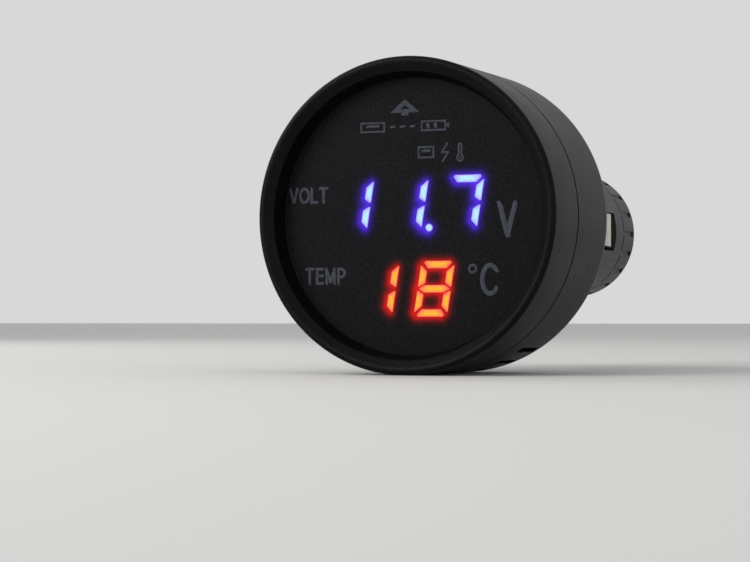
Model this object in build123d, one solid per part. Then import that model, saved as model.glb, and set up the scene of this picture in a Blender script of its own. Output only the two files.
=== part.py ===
from build123d import *
import os
from math import cos, radians, sin, sqrt

# A 12 V socket charger with a voltage and temperature dial, in millimetres.
# The plug's axis is Y: the dial faces -Y, the plug points to +Y, and +Z is up, where the USB port opens.
# The origin is on the axis, at the shoulder that meets the socket's mouth.

# Head: the round drum that stays outside the socket.
head_diameter = 43.0
head_length = 24.0
cone_length = 8.0
collar_width = 2.9
collar_length = 2.0
head_wall = 1.8
back_round = 3.0
collar_round = 0.8

# Bezel: the front ring, whose skirt laps into the housing and snaps on a bead.
lip_width = 2.05
lip_drop = 0.8
crest_width = 0.9
recess_depth = 3.5
recess_taper = 0.7
rim_round = 0.6
crest_round = 0.8
lip_round = 0.3
foot_bevel = 0.15
skirt_length = 2.0
skirt_wall = 0.8
skirt_end_gap = 0.45
bead_height = 0.25
bead_length = 0.9
seam_chamfer = 0.25

# Dial: a printed film on a smoked plate, both behind the bezel's inner flange.
film_thickness = 0.25
window_thickness = 1.5
window_overlap = 0.5

# Display modules: seven-segment digits side by side, leaning to the right.
digit_pitch = 8.0
digit_height = 7.6
digit_width = 4.9
segment_width = 1.05
segment_gap = 0.28
digit_slant = 0.16
segment_thickness = 0.2
dot_radius = 0.55
dot_offset = 3.0
module_height = 10.0
module_depth = 6.0
volt_digits = 3
volt_x = -0.54
volt_z = 1.7
temp_digits = 2
temp_x = -0.8
temp_z = -9.83

# Boards and the small parts on them.
board_thickness = 1.2
board_edge_gap = 0.7
power_board_top_z = -2.0
power_board_back_y = 11.5
power_board_front_gap = 0.4
power_board_corner_gap = 0.46
chip_height = 1.5
display_chip_size = (5.0, 6.0)
display_chip_place = (-13.0, -2.0)
resistor_size = (1.6, 0.8, 0.55)
resistor_pitch = 2.4
resistor_count = 4
display_resistor_place = (14.6, -4.6)
power_resistor_y = -2.0

# Screws and the posts that they go into.
post_diameter = 4.4
post_edge_gap = 0.5
post_angles = (40, 140, 220, 320)
board_screw_diameter = 2.0
board_screw_head = 3.6
board_screw_head_height = 1.3
board_screw_length = 6.0
barrel_screw_diameter = 1.6
barrel_screw_head = 2.6
barrel_screw_head_height = 1.0
barrel_screw_length = 3.4
barrel_screw_angles = (90, 210, 330)
drive_slot_width = 0.5
drive_slot_depth = 0.5

# Vents under the head.
vent_width = 1.2
vent_length = 7.0
vent_angles = (-58, -68, -78, -102, -112, -122)

# USB-A receptacle, lying on the back of the display board with its mouth up.
usb_opening_width = 12.5
usb_opening_height = 5.12
usb_shell_wall = 0.3
usb_length = 14.0
usb_tongue_width = 11.1
usb_tongue_thickness = 1.84
usb_tongue_wall_gap = 0.7
usb_tongue_setback = 1.4
usb_base_length = 3.2
usb_contact_width = 1.0
usb_contact_thickness = 0.25
usb_contact_setback = 2.2
usb_contact_places = (-3.5, -1.0, 1.0, 3.5)
usb_foot_drop = 1.0
usb_leg_width = 1.5
usb_leg_rise = 3.0
usb_latch_window = (2.0, 4.5)
usb_latch_offset = 3.1

# Header between the boards.
header_pin_count = 6
header_pin_pitch = 2.54
header_pin_size = 0.64
header_body = 2.54

# Parts on the power board: (x, y) of each centre.
inductor_place = (-3.6, -9.0)
inductor_diameter = 8.0
inductor_height = 6.2
inductor_flange = 1.0
inductor_waist = 4.0
winding_depth = 1.6
capacitor_diameter = 6.3
capacitor_height = 7.8
capacitor_places = ((4.3, -9.0), (0.0, 6.6))
regulator_place = (-3.8, 0.4)
regulator_size = (5.0, 4.0)
diode_place = (3.8, 0.4)
diode_size = (4.4, 2.8)
diode_height = 2.2

# Thermistor: a bead on two wires, just above the vents.
bead_diameter = 2.2
bead_reach = 4.6
bead_place = (5.6, -15.2)
lead_diameter = 0.4
lead_spread = 1.2

# Plug barrel. The root fills the socket's mouth, and the rest is slimmer by the draft.
barrel_diameter = 20.8
barrel_root_length = 12.4
barrel_draft = 0.2
barrel_wall = 1.6
flange_width = 2.6
flange_thickness = 1.5
flange_depth = 4.0
web_thickness = 1.5
web_gap = 2.0
rail_height = 1.0
rail_width = 1.1

# Side contacts: bowed leaves that turn on a rolled root, out through a slot in the barrel.
leaf_thickness = 0.5
leaf_width = 5.0
leaf_roll_radius = 0.6
leaf_root_inset = 0.8
leaf_root_setback = 1.2
leaf_stand_out = 1.2
leaf_shoulder = (1.3, 2.0)
leaf_tail = (0.8, 1.9)
slot_clearance = 0.5
slot_land = 4.0
lug_width = 1.0
lug_wall = 0.35
root_overhang = 0.85

# Fuse, its spring and the sprung tip.
fuse_length = 20.0
fuse_cap_diameter = 5.2
fuse_cap_length = 5.0
fuse_cap_wall = 0.2
fuse_glass_diameter = 4.7
fuse_glass_wall = 0.8
fuse_wire_diameter = 0.3
fuse_tube_wall = 1.2
terminal_disc = 0.6
terminal_disc_diameter = 6.4
terminal_stem_diameter = 2.4
terminal_foot_width = 2.0
terminal_foot_length = 1.0
spring_wire = 0.4
spring_diameter = 5.6
spring_length = 4.9
spring_turns = 3.5
tip_travel = 3.0
tip_diameter = 7.0
tip_reach = 4.5
tip_round = 2.6
tip_shoulder_diameter = 9.5
tip_shoulder_thickness = 1.2
cup_depth = 2.0
cup_wall = 0.7
cup_floor = 2.25

# Nose cap: screws over the spigot in front of the barrel.
spigot_length = 6.0
thread_pitch = 1.5
thread_depth = 0.45
thread_turns = 3
cap_wall = 1.4
cap_front_diameter = 15.0
cap_front_length = 3.7
cap_pocket_depth = 1.7
flute_count = 20
flute_radius = 0.5
flute_depth = 0.25
cap_skirt_round = 0.3
cap_step_round = 0.8
cap_end_round = 0.6

# Clearances.
fit_gap = 0.1
running_gap = 0.05
slide_gap = 0.2
stop_gap = 0.05
part_gap = 0.25
cap_end_gap = 0.3
port_gap = 0.25

# Places along the axis.
cone_y = -(collar_length + cone_length)
front_y = cone_y - head_length
dial_y = front_y + recess_depth
window_y = dial_y + film_thickness
module_y = window_y + window_thickness + part_gap
board_front_y = module_y + module_depth
board_back_y = board_front_y + board_thickness
bezel_back_y = board_back_y - port_gap - skirt_end_gap - skirt_length
flange_y = -flange_depth - flange_thickness
power_board_front_y = board_back_y + power_board_front_gap
web_y = power_board_back_y + web_gap
seat_y = web_y + web_thickness
spring_start_y = seat_y + terminal_disc
fuse_start_y = spring_start_y + spring_length
fuse_end_y = fuse_start_y + fuse_length
shoulder_start_y = fuse_end_y + cup_floor
shoulder_end_y = shoulder_start_y + tip_shoulder_thickness
cap_step_y = shoulder_end_y + stop_gap - cap_pocket_depth
cap_end_y = cap_step_y + cap_front_length
tip_end_y = cap_end_y + tip_reach
spigot_end_y = cap_step_y - cap_end_gap
barrel_end_y = spigot_end_y - spigot_length
cap_skirt_y = barrel_end_y + cap_end_gap
leaf_root_y = barrel_root_length + leaf_root_setback
slot_start_y = leaf_root_y - leaf_roll_radius - part_gap
slot_end_y = barrel_end_y - slot_land

# Radii about the axis.
head_radius = head_diameter / 2
housing_radius = head_radius - head_wall
lip_radius = head_radius - lip_width
dial_radius = lip_radius - recess_taper
window_radius = dial_radius + window_overlap
pocket_radius = window_radius + fit_gap
skirt_radius = pocket_radius + skirt_wall
rebate_radius = skirt_radius + fit_gap
board_radius = housing_radius - board_edge_gap
post_circle = housing_radius - post_edge_gap - post_diameter / 2
barrel_radius = barrel_diameter / 2
bore_radius = barrel_radius - barrel_wall
slim_radius = barrel_radius - barrel_draft
collar_radius = barrel_radius + collar_width
flange_radius = barrel_radius + flange_width
flange_pocket_radius = flange_radius + slide_gap
leaf_root_x = bore_radius - leaf_root_inset
barrel_screw_circle = (barrel_radius + collar_radius) / 2
cup_radius = fuse_cap_diameter / 2 + running_gap + cup_wall
fuse_bore_radius = cup_radius + slide_gap + fit_gap
fuse_tube_radius = fuse_bore_radius + fuse_tube_wall
shoulder_bore_radius = tip_shoulder_diameter / 2 + slide_gap
spigot_radius = slim_radius - cap_wall - running_gap

# Heights.
board_bottom_z = power_board_top_z - board_thickness
power_board_width = 2 * sqrt((bore_radius - power_board_corner_gap) ** 2 - board_bottom_z**2)
usb_outer_width = usb_opening_width + 2 * usb_shell_wall
usb_outer_height = usb_opening_height + 2 * usb_shell_wall
usb_top_z = sqrt(head_radius**2 - (usb_outer_width / 2) ** 2)
usb_bottom_z = usb_top_z - usb_length
usb_back_y = board_back_y + usb_outer_height

# Slope of the head's cone: radius lost for each millimetre towards the socket.
cone_slope = (head_radius - collar_radius) / cone_length
cone_wall_shift = head_wall * sqrt(1 + cone_slope**2)


def block(x_span, y_span, z_span):
    """Box between the low and high value on each axis."""
    spans = (x_span, y_span, z_span)
    size = [high - low for low, high in spans]
    centre = [(high + low) / 2 for low, high in spans]
    return Pos(*centre) * Box(*size)


def rod(x, z, radius, start_y, end_y):
    """Round bar parallel to the plug's axis."""
    bar = Cylinder(radius, end_y - start_y, align=(Align.CENTER, Align.CENTER, Align.MIN))
    return Pos(x, start_y, z) * Rot(-90, 0, 0) * bar


def drum(radius, start_y, end_y):
    """Round bar on the plug's axis."""
    return rod(0, 0, radius, start_y, end_y)


def upright(place, radius, low_z, high_z):
    """Round bar parallel to Z at the (x, y) place."""
    bar = Cylinder(radius, high_z - low_z, align=(Align.CENTER, Align.CENTER, Align.MIN))
    return Pos(place[0], place[1], low_z) * bar


def turned(*corners):
    """Ring or disc turned about the plug's axis from its (radius, y) corners."""
    return revolve(make_face(Polyline(*corners, close=True)), Axis.Y)


def ring_edges(part, radius, y):
    """The circular edges of a turned part at one corner of its profile."""
    near = 0.01
    found = []
    for edge in part.edges().filter_by(GeomType.CIRCLE):
        if abs(edge.radius - radius) < near and abs(edge.center(CenterOf.BOUNDING_BOX).Y - y) < near:
            found.append(edge)
    return found


def on_circle(angle, radius):
    """The (x, z) point at an angle from +X on a circle about the axis."""
    return radius * cos(radians(angle)), radius * sin(radians(angle))


def front_bezel():
    """Front ring: lip that falls inwards, tapered recess, inner flange, pocket, skirt and snap bead."""
    bead_y = bezel_back_y + skirt_length / 2
    ring = turned(
        (lip_radius, front_y + lip_drop),
        (head_radius - crest_width, front_y),
        (head_radius, front_y),
        (head_radius, bezel_back_y - seam_chamfer),
        (head_radius - seam_chamfer, bezel_back_y),
        (skirt_radius, bezel_back_y),
        (skirt_radius, bead_y - bead_length / 2),
        (skirt_radius + bead_height, bead_y),
        (skirt_radius, bead_y + bead_length / 2),
        (skirt_radius, bezel_back_y + skirt_length),
        (pocket_radius, bezel_back_y + skirt_length),
        (pocket_radius, dial_y),
        (dial_radius, dial_y),
        (dial_radius + foot_bevel, dial_y - foot_bevel),
    )
    ring = fillet(ring_edges(ring, head_radius, front_y), rim_round)
    ring = fillet(ring_edges(ring, head_radius - crest_width, front_y), crest_round)
    return fillet(ring_edges(ring, lip_radius, front_y + lip_drop), lip_round)


def head_envelope():
    """The head's outer shape behind the bezel, as if it were solid."""
    body = turned(
        (0, bezel_back_y),
        (head_radius - seam_chamfer, bezel_back_y),
        (head_radius, bezel_back_y + seam_chamfer),
        (head_radius, cone_y),
        (collar_radius, -collar_length),
        (collar_radius, 0),
        (0, 0),
    )
    body = fillet(ring_edges(body, head_radius, cone_y), back_round)
    return fillet(ring_edges(body, collar_radius, 0), collar_round)


def head_cavity():
    """The space inside the housing, from the lap with the bezel to the neck's bore."""
    rebate_y = bezel_back_y + skirt_length + fit_gap
    bead_y = bezel_back_y + skirt_length / 2
    inner_cone_y = cone_y - (cone_wall_shift - head_wall) / cone_slope
    pocket_y = cone_y + (head_radius - cone_wall_shift - flange_pocket_radius) / cone_slope
    neck_radius = barrel_radius + fit_gap
    return turned(
        (0, bezel_back_y),
        (rebate_radius, bezel_back_y),
        (rebate_radius, bead_y - bead_length / 2 - fit_gap),
        (rebate_radius + bead_height, bead_y),
        (rebate_radius, bead_y + bead_length / 2 + fit_gap),
        (rebate_radius, rebate_y),
        (housing_radius, rebate_y),
        (housing_radius, inner_cone_y),
        (flange_pocket_radius, pocket_y),
        (flange_pocket_radius, -flange_depth),
        (neck_radius, -flange_depth),
        (neck_radius, 0),
        (0, 0),
    )


def usb_port_cut():
    """Space for the receptacle through the top of the housing."""
    half_width = usb_outer_width / 2 + port_gap
    y_span = (board_back_y - port_gap, usb_back_y + port_gap)
    return block((-half_width, half_width), y_span, (usb_bottom_z, head_diameter))


def head_housing():
    """Rear shell of the head, with board posts, screw holes, port cut-out and vents."""
    envelope = head_envelope()
    shell = envelope - head_cavity()
    for angle in post_angles:
        post = rod(*on_circle(angle, post_circle), post_diameter / 2, board_back_y, -flange_depth)
        shell += post & envelope
    for angle in post_angles:
        hole_radius = board_screw_diameter / 2 + running_gap
        hole_end_y = board_front_y + board_screw_length + part_gap
        shell -= rod(*on_circle(angle, post_circle), hole_radius, board_back_y, hole_end_y)
    shell -= drum(flange_pocket_radius, flange_y - barrel_screw_head_height, -flange_depth)
    for angle in barrel_screw_angles:
        hole_radius = barrel_screw_diameter / 2 + running_gap
        hole_end_y = flange_y + barrel_screw_length + fit_gap
        shell -= rod(*on_circle(angle, barrel_screw_circle), hole_radius, -flange_depth, hole_end_y)
    shell -= usb_port_cut()
    vent_y = (board_back_y + cone_y) / 2
    slot = Pos(housing_radius + head_wall / 2, vent_y, 0) * Box(2 * head_wall, vent_length, vent_width)
    for angle in vent_angles:
        shell -= Rot(0, -angle, 0) * slot
    return shell


def dial_film():
    """Printed film, stuck to the front of the window plate."""
    return drum(window_radius, dial_y, window_y)


def dial_window():
    """Smoked plate, glued in the bezel's pocket."""
    return drum(window_radius, window_y, window_y + window_thickness)


def segment_outlines():
    """Corner lists of the seven mitred segments of an upright digit about its centre, as (x, z) points."""
    half_bar = segment_width / 2
    side = digit_width / 2
    middle = side - half_bar
    inner = side - segment_width
    top = digit_height / 2
    under = top - segment_width
    bar_end = inner - segment_gap
    end_bar = [(side - segment_gap, top), (bar_end, under)]
    upright_bar = [
        (side, top - segment_gap),
        (side, segment_gap),
        (middle, segment_gap),
        (inner, half_bar + segment_gap),
        (inner, under - segment_gap),
    ]
    middle_bar = [(bar_end, half_bar), (middle - segment_gap, 0), (bar_end, -half_bar)]
    outlines = [middle_bar + [(-x, -z) for x, z in middle_bar]]
    for up in (-1, 1):
        outlines.append([(x, up * z) for x, z in end_bar + [(-x, z) for x, z in reversed(end_bar)]])
        for across in (-1, 1):
            outlines.append([(across * x, up * z) for x, z in upright_bar])
    return outlines


def display_segments(centre_x, centre_z, digits):
    """Light windows of a row of digits and their decimal points, standing on the module's face."""
    pieces = []
    face = Plane(origin=(0, module_y, 0), x_dir=(1, 0, 0), z_dir=(0, -1, 0))
    for digit in range(digits):
        x = centre_x + (digit - (digits - 1) / 2) * digit_pitch
        for outline in segment_outlines():
            corners = [(x + px + digit_slant * pz, centre_z + pz) for px, pz in outline]
            flat = make_face(Polyline(*corners, close=True))
            pieces.append(extrude(face * flat, segment_thickness))
        dot_z = centre_z - digit_height / 2 + dot_radius
        pieces.append(rod(x + dot_offset, dot_z, dot_radius, module_y - segment_thickness, module_y))
    return pieces


def display_module(centre_x, centre_z, digits):
    """Moulded body of a row of digits."""
    half_width = digits * digit_pitch / 2
    x_span = (centre_x - half_width, centre_x + half_width)
    z_span = (centre_z - module_height / 2, centre_z + module_height / 2)
    return block(x_span, (module_y, board_front_y), z_span)


def header_pin_xs():
    """The x of each header pin."""
    return [(n - (header_pin_count - 1) / 2) * header_pin_pitch for n in range(header_pin_count)]


def header_pin_z():
    """Height of the header pins' long legs."""
    return power_board_top_z + header_body / 2


def header_pins():
    """Bent pins from the display board, through the strip and down through the power board."""
    half_pin = header_pin_size / 2
    bend_y = board_back_y + header_body + header_pin_size
    pins = []
    for x in header_pin_xs():
        z = header_pin_z()
        x_span = (x - half_pin, x + half_pin)
        leg = block(x_span, (board_front_y + fit_gap, bend_y + header_pin_size), (z - half_pin, z + half_pin))
        foot_z = (board_bottom_z - header_pin_size, z)
        pins.append(leg + block(x_span, (bend_y, bend_y + header_pin_size), foot_z))
    return pins


def pin_space(pin, gap):
    """The pin's own box grown by a gap, for the hole that it goes through."""
    box = pin.bounding_box()
    spans = [(low - gap, high + gap) for low, high in zip(box.min, box.max)]
    return block(*spans)


def header_strip():
    """Plastic strip that holds the header pins."""
    half_width = header_pin_count * header_pin_pitch / 2
    y_span = (board_back_y, board_back_y + header_body)
    strip = block((-half_width, half_width), y_span, (power_board_top_z, power_board_top_z + header_body))
    half_pin = header_pin_size / 2
    z = header_pin_z()
    for x in header_pin_xs():
        strip -= block((x - half_pin, x + half_pin), y_span, (z - half_pin, z + half_pin))
    return strip


def usb_contact_face_y():
    """The tongue's face that carries the contacts."""
    return usb_back_y - usb_shell_wall - usb_tongue_wall_gap - usb_tongue_thickness


def usb_contact(x):
    """One blade along the tongue, with a foot bent into the display board."""
    face_y = usb_contact_face_y()
    x_span = (x - usb_contact_width / 2, x + usb_contact_width / 2)
    foot_z = usb_bottom_z - usb_foot_drop
    blade_y = (face_y - usb_contact_thickness, face_y)
    blade = block(x_span, blade_y, (foot_z, usb_top_z - usb_contact_setback))
    foot_y = (board_front_y + fit_gap, face_y)
    return blade + block(x_span, foot_y, (foot_z, foot_z + usb_contact_thickness))


def usb_tongue():
    """Insulator: a block at the back of the shell and the tongue that carries the contacts."""
    face_y = usb_contact_face_y()
    half_width = usb_opening_width / 2 - running_gap
    inner_y = (board_back_y + usb_shell_wall + running_gap, usb_back_y - usb_shell_wall - running_gap)
    body = block((-half_width, half_width), inner_y, (usb_bottom_z, usb_bottom_z + usb_base_length))
    half_tongue = usb_tongue_width / 2
    tongue_z = (usb_bottom_z, usb_top_z - usb_tongue_setback)
    body += block((-half_tongue, half_tongue), (face_y, face_y + usb_tongue_thickness), tongue_z)
    for x in usb_contact_places:
        body -= usb_contact(x)
    return body


def usb_leg(side, gap):
    """Solder leg of the shell, or with a gap the board slot that takes it."""
    edge = side * usb_outer_width / 2
    inner = edge - side * usb_shell_wall
    x_span = (min(edge, inner) - gap, max(edge, inner) + gap)
    leg_z = usb_bottom_z + usb_leg_rise
    leg_y = (board_front_y + fit_gap - gap, board_back_y)
    return block(x_span, leg_y, (leg_z - gap, leg_z + usb_leg_width + gap))


def usb_shell():
    """Folded metal sleeve of the receptacle, with latch windows and two solder legs."""
    half_width = usb_outer_width / 2
    y_span = (board_back_y, usb_back_y)
    sleeve = block((-half_width, half_width), y_span, (usb_bottom_z, usb_top_z))
    half_opening = usb_opening_width / 2
    inner_y = (board_back_y + usb_shell_wall, usb_back_y - usb_shell_wall)
    sleeve -= block((-half_opening, half_opening), inner_y, (usb_bottom_z, usb_top_z))
    window_x, window_z = usb_latch_window
    middle_z = (usb_bottom_z + usb_base_length + usb_top_z) / 2
    for side in (-1, 1):
        x = side * usb_latch_offset
        x_span = (x - window_x / 2, x + window_x / 2)
        sleeve -= block(x_span, y_span, (middle_z - window_z / 2, middle_z + window_z / 2))
        sleeve += usb_leg(side, 0)
    return sleeve


def thermistor_leads(gap):
    """The sensor's two wires, or with a gap the board holes that take them."""
    x, z = bead_place
    radius = lead_diameter / 2 + gap
    y_span = (board_front_y + fit_gap, board_back_y + bead_reach)
    return [rod(x + side * lead_spread / 2, z, radius, *y_span) for side in (-1, 1)]


def thermistor():
    """Sensor bead on its two wires."""
    x, z = bead_place
    bead = Pos(x, board_back_y + bead_reach, z) * Sphere(bead_diameter / 2)
    for lead in thermistor_leads(0):
        bead += lead
    return bead


def display_board():
    """Round board that carries the digits in front and the USB receptacle behind."""
    board = drum(board_radius, board_front_y, board_back_y)
    for angle in post_angles:
        hole_radius = board_screw_diameter / 2 + slide_gap
        board -= rod(*on_circle(angle, post_circle), hole_radius, board_front_y, board_back_y)
    for pin in header_pins():
        board -= pin_space(pin, fit_gap) & board
    for x in usb_contact_places:
        half_width = usb_contact_width / 2 + fit_gap
        foot_z = usb_bottom_z - usb_foot_drop
        z_span = (foot_z - fit_gap, foot_z + usb_contact_thickness + fit_gap)
        board -= block((x - half_width, x + half_width), (board_front_y, board_back_y), z_span)
    for side in (-1, 1):
        board -= usb_leg(side, fit_gap)
    for lead in thermistor_leads(fit_gap):
        board -= lead
    return board


def screw(x, z, radius, head_radius_here, head_height, seat, length):
    """Slotted screw along +Y: the head in front of its seat, the shank behind it."""
    body = rod(x, z, head_radius_here, seat - head_height, seat) + rod(x, z, radius, seat, seat + length)
    slot_x = (x - head_radius_here, x + head_radius_here)
    slot_y = (seat - head_height, seat - head_height + drive_slot_depth)
    return body - block(slot_x, slot_y, (z - drive_slot_width / 2, z + drive_slot_width / 2))


def board_screws():
    """Screws through the display board into the housing's posts."""
    screws = []
    for angle in post_angles:
        place = on_circle(angle, post_circle)
        head = board_screw_head / 2
        screws.append(
            screw(
                *place,
                board_screw_diameter / 2,
                head,
                board_screw_head_height,
                board_front_y,
                board_screw_length,
            )
        )
    return screws


def barrel_screws():
    """Screws through the barrel's flange into the ledge round the neck."""
    screws = []
    for angle in barrel_screw_angles:
        place = on_circle(angle, barrel_screw_circle)
        head = barrel_screw_head / 2
        screws.append(
            screw(
                *place,
                barrel_screw_diameter / 2,
                head,
                barrel_screw_head_height,
                flange_y,
                barrel_screw_length,
            )
        )
    return screws


def display_chip():
    """Measuring chip on the back of the display board."""
    x, z = display_chip_place
    width, height = display_chip_size
    y_span = (board_back_y, board_back_y + chip_height)
    return block((x - width / 2, x + width / 2), y_span, (z - height / 2, z + height / 2))


def display_resistors():
    """Chip resistors in a column on the back of the display board."""
    length, width, height = resistor_size
    x, low_z = display_resistor_place
    pieces = []
    for n in range(resistor_count):
        z = low_z + n * resistor_pitch
        y_span = (board_back_y, board_back_y + height)
        pieces.append(block((x - length / 2, x + length / 2), y_span, (z - width / 2, z + width / 2)))
    return pieces


def power_resistors():
    """Chip resistors in two rows under the power board."""
    length, width, height = resistor_size
    pieces = []
    for side in (-1, 1):
        for n in range(resistor_count):
            x = side * length
            y = power_resistor_y + n * resistor_pitch
            z_span = (board_bottom_z - height, board_bottom_z)
            pieces.append(block((x - length / 2, x + length / 2), (y - width / 2, y + width / 2), z_span))
    return pieces


def power_board():
    """Converter board along the barrel, held by its edges."""
    half_width = power_board_width / 2
    board = block(
        (-half_width, half_width),
        (power_board_front_y, power_board_back_y),
        (board_bottom_z, power_board_top_z),
    )
    bend_y = board_back_y + header_body + header_pin_size
    half_hole = header_pin_size / 2 + fit_gap
    hole_y = (bend_y - fit_gap, bend_y + header_pin_size + fit_gap)
    for x in header_pin_xs():
        board -= block((x - half_hole, x + half_hole), hole_y, (board_bottom_z, power_board_top_z))
    return board


def inductor_core():
    """Ferrite bobbin of the inductor."""
    top_z = power_board_top_z + inductor_height
    radius = inductor_diameter / 2
    core = upright(inductor_place, radius, power_board_top_z, power_board_top_z + inductor_flange)
    core += upright(inductor_place, inductor_waist / 2, power_board_top_z, top_z)
    return core + upright(inductor_place, radius, top_z - inductor_flange, top_z)


def inductor_winding():
    """Copper winding between the bobbin's flanges."""
    low_z = power_board_top_z + inductor_flange
    high_z = power_board_top_z + inductor_height - inductor_flange
    outer = upright(inductor_place, inductor_waist / 2 + winding_depth, low_z, high_z)
    return outer - upright(inductor_place, inductor_waist / 2, low_z, high_z)


def capacitors():
    """Electrolytic cans standing on the power board."""
    top_z = power_board_top_z + capacitor_height
    return [upright(place, capacitor_diameter / 2, power_board_top_z, top_z) for place in capacitor_places]


def board_part(place, size, height):
    """A flat moulded part on top of the power board."""
    x, y = place
    width, length = size
    z_span = (power_board_top_z, power_board_top_z + height)
    return block((x - width / 2, x + width / 2), (y - length / 2, y + length / 2), z_span)


def side_slots():
    """Slots in both sides of the barrel for the contacts."""
    half_height = leaf_width / 2 + slot_clearance
    inner_x = leaf_root_x - leaf_roll_radius - slot_clearance - lug_wall
    slots = []
    for side in (-1, 1):
        x_span = (inner_x, barrel_radius) if side > 0 else (-barrel_radius, -inner_x)
        slots.append(block(x_span, (slot_start_y, slot_end_y), (-half_height, half_height)))
    return slots


def contact_lugs():
    """Lugs inside the barrel, above and below each contact, that carry its rolled root."""
    reach = leaf_roll_radius + running_gap + lug_wall
    inner_z = leaf_width / 2 + fit_gap
    lugs = []
    for side in (-1, 1):
        x = side * leaf_root_x
        outer_x = side * (bore_radius + barrel_wall / 2)
        x_span = tuple(sorted((x - side * reach, outer_x)))
        for low_z in (inner_z, -inner_z - lug_width):
            z_span = (low_z, low_z + lug_width)
            lugs.append(block(x_span, (leaf_root_y - reach, leaf_root_y + reach), z_span))
    return lugs


def root_holes():
    """Holes through the lugs and into the wall for the contacts' rolled roots."""
    reach = leaf_width / 2 + fit_gap + lug_width
    radius = leaf_roll_radius + running_gap
    return [upright((side * leaf_root_x, leaf_root_y), radius, -reach, reach) for side in (-1, 1)]


def board_rails():
    """Rails along the bore that hold the power board by its edges."""
    edge = power_board_width / 2
    inner_x = edge - rail_width
    outer_x = bore_radius + barrel_wall / 2
    rails = []
    for low_z in (board_bottom_z - rail_height - running_gap, power_board_top_z + running_gap):
        for side in (-1, 1):
            x_span = (inner_x, outer_x) if side > 0 else (-outer_x, -inner_x)
            rails.append(block(x_span, (0, power_board_back_y), (low_z, low_z + rail_height)))
    return rails


def thread_grooves():
    """V grooves round the spigot, one for each turn of the cap's thread."""
    grooves = []
    for n in range(thread_turns):
        middle_y = spigot_end_y - (n + 1) * thread_pitch
        grooves.append(
            turned(
                (spigot_radius - thread_depth, middle_y),
                (spigot_radius + fit_gap, middle_y - thread_pitch / 2),
                (spigot_radius + fit_gap, middle_y + thread_pitch / 2),
            )
        )
    return grooves


def plug_barrel():
    """Barrel of the plug: flange, root, slim front, fuse tube, slots, lugs, rails and spigot."""
    barrel = drum(slim_radius, flange_y, barrel_end_y)
    barrel += drum(barrel_radius, 0, barrel_root_length)
    solid = barrel
    barrel -= drum(bore_radius, flange_y, barrel_end_y)
    for slot in side_slots():
        barrel -= slot
    for piece in contact_lugs() + board_rails():
        barrel += piece & solid
    for hole in root_holes():
        barrel -= hole
    web = drum(bore_radius, web_y, seat_y)
    for slot in side_slots():
        grown = pin_space(slot, lug_width + part_gap)
        web -= grown
    barrel += web
    barrel += drum(fuse_tube_radius, web_y, barrel_end_y)
    barrel += drum(bore_radius, barrel_end_y - web_thickness, barrel_end_y)
    barrel += drum(spigot_radius, barrel_end_y - web_thickness, spigot_end_y)
    barrel += turned(
        (bore_radius, flange_y),
        (flange_radius, flange_y),
        (flange_radius, -flange_depth),
        (bore_radius, -flange_depth),
    )
    for groove in thread_grooves():
        barrel -= groove
    barrel -= drum(fuse_bore_radius, seat_y, spigot_end_y)
    bore_y = shoulder_start_y - tip_travel - slide_gap
    barrel -= drum(shoulder_bore_radius, bore_y, spigot_end_y)
    barrel -= drum(terminal_stem_diameter / 2 + running_gap, web_y, seat_y)
    for angle in barrel_screw_angles:
        hole_radius = barrel_screw_diameter / 2 + fit_gap
        barrel -= rod(*on_circle(angle, barrel_screw_circle), hole_radius, flange_y, -flange_depth)
    return barrel


def side_contact(side):
    """Bowed leaf with a rolled root; side is +1 on the right and -1 on the left."""
    root = (leaf_root_x, leaf_root_y)
    shoulder = (leaf_root_x + leaf_shoulder[0], leaf_root_y + leaf_shoulder[1])
    tail = (shoulder[0] - leaf_tail[0], slot_end_y - slot_clearance - part_gap)
    foot = (shoulder[0], tail[1] - leaf_tail[1])
    peak = (barrel_radius + leaf_stand_out - leaf_thickness / 2, (shoulder[1] + foot[1]) / 2)
    path = Line(root, shoulder) + ThreePointArc(shoulder, peak, foot) + Line(foot, tail)
    strip = trace(path, leaf_thickness)
    leaf = extrude(Pos(0, 0, -leaf_width / 2) * strip, leaf_width)
    half_roll = leaf_width / 2 + root_overhang
    leaf += upright(root, leaf_roll_radius, -half_roll, half_roll)
    return leaf if side > 0 else mirror(leaf, Plane.YZ)


def nose_cap():
    """Fluted ring cap that screws over the spigot and holds the tip in."""
    cap = turned(
        (spigot_radius + running_gap, cap_skirt_y),
        (slim_radius, cap_skirt_y),
        (slim_radius, cap_step_y),
        (cap_front_diameter / 2, cap_end_y),
        (tip_diameter / 2 + slide_gap, cap_end_y),
        (tip_diameter / 2 + slide_gap, cap_step_y + cap_pocket_depth),
        (shoulder_bore_radius, cap_step_y + cap_pocket_depth),
        (shoulder_bore_radius, cap_step_y),
        (spigot_radius + running_gap, cap_step_y),
    )
    cap = fillet(ring_edges(cap, slim_radius, cap_skirt_y), cap_skirt_round)
    cap = fillet(ring_edges(cap, slim_radius, cap_step_y), cap_step_round)
    cap = fillet(ring_edges(cap, cap_front_diameter / 2, cap_end_y), cap_end_round)
    for n in range(flute_count):
        place = on_circle(n * 360 / flute_count, slim_radius + flute_radius - flute_depth)
        cap -= rod(*place, flute_radius, cap_skirt_y, cap_step_y - cap_step_round)
    return cap


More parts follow.
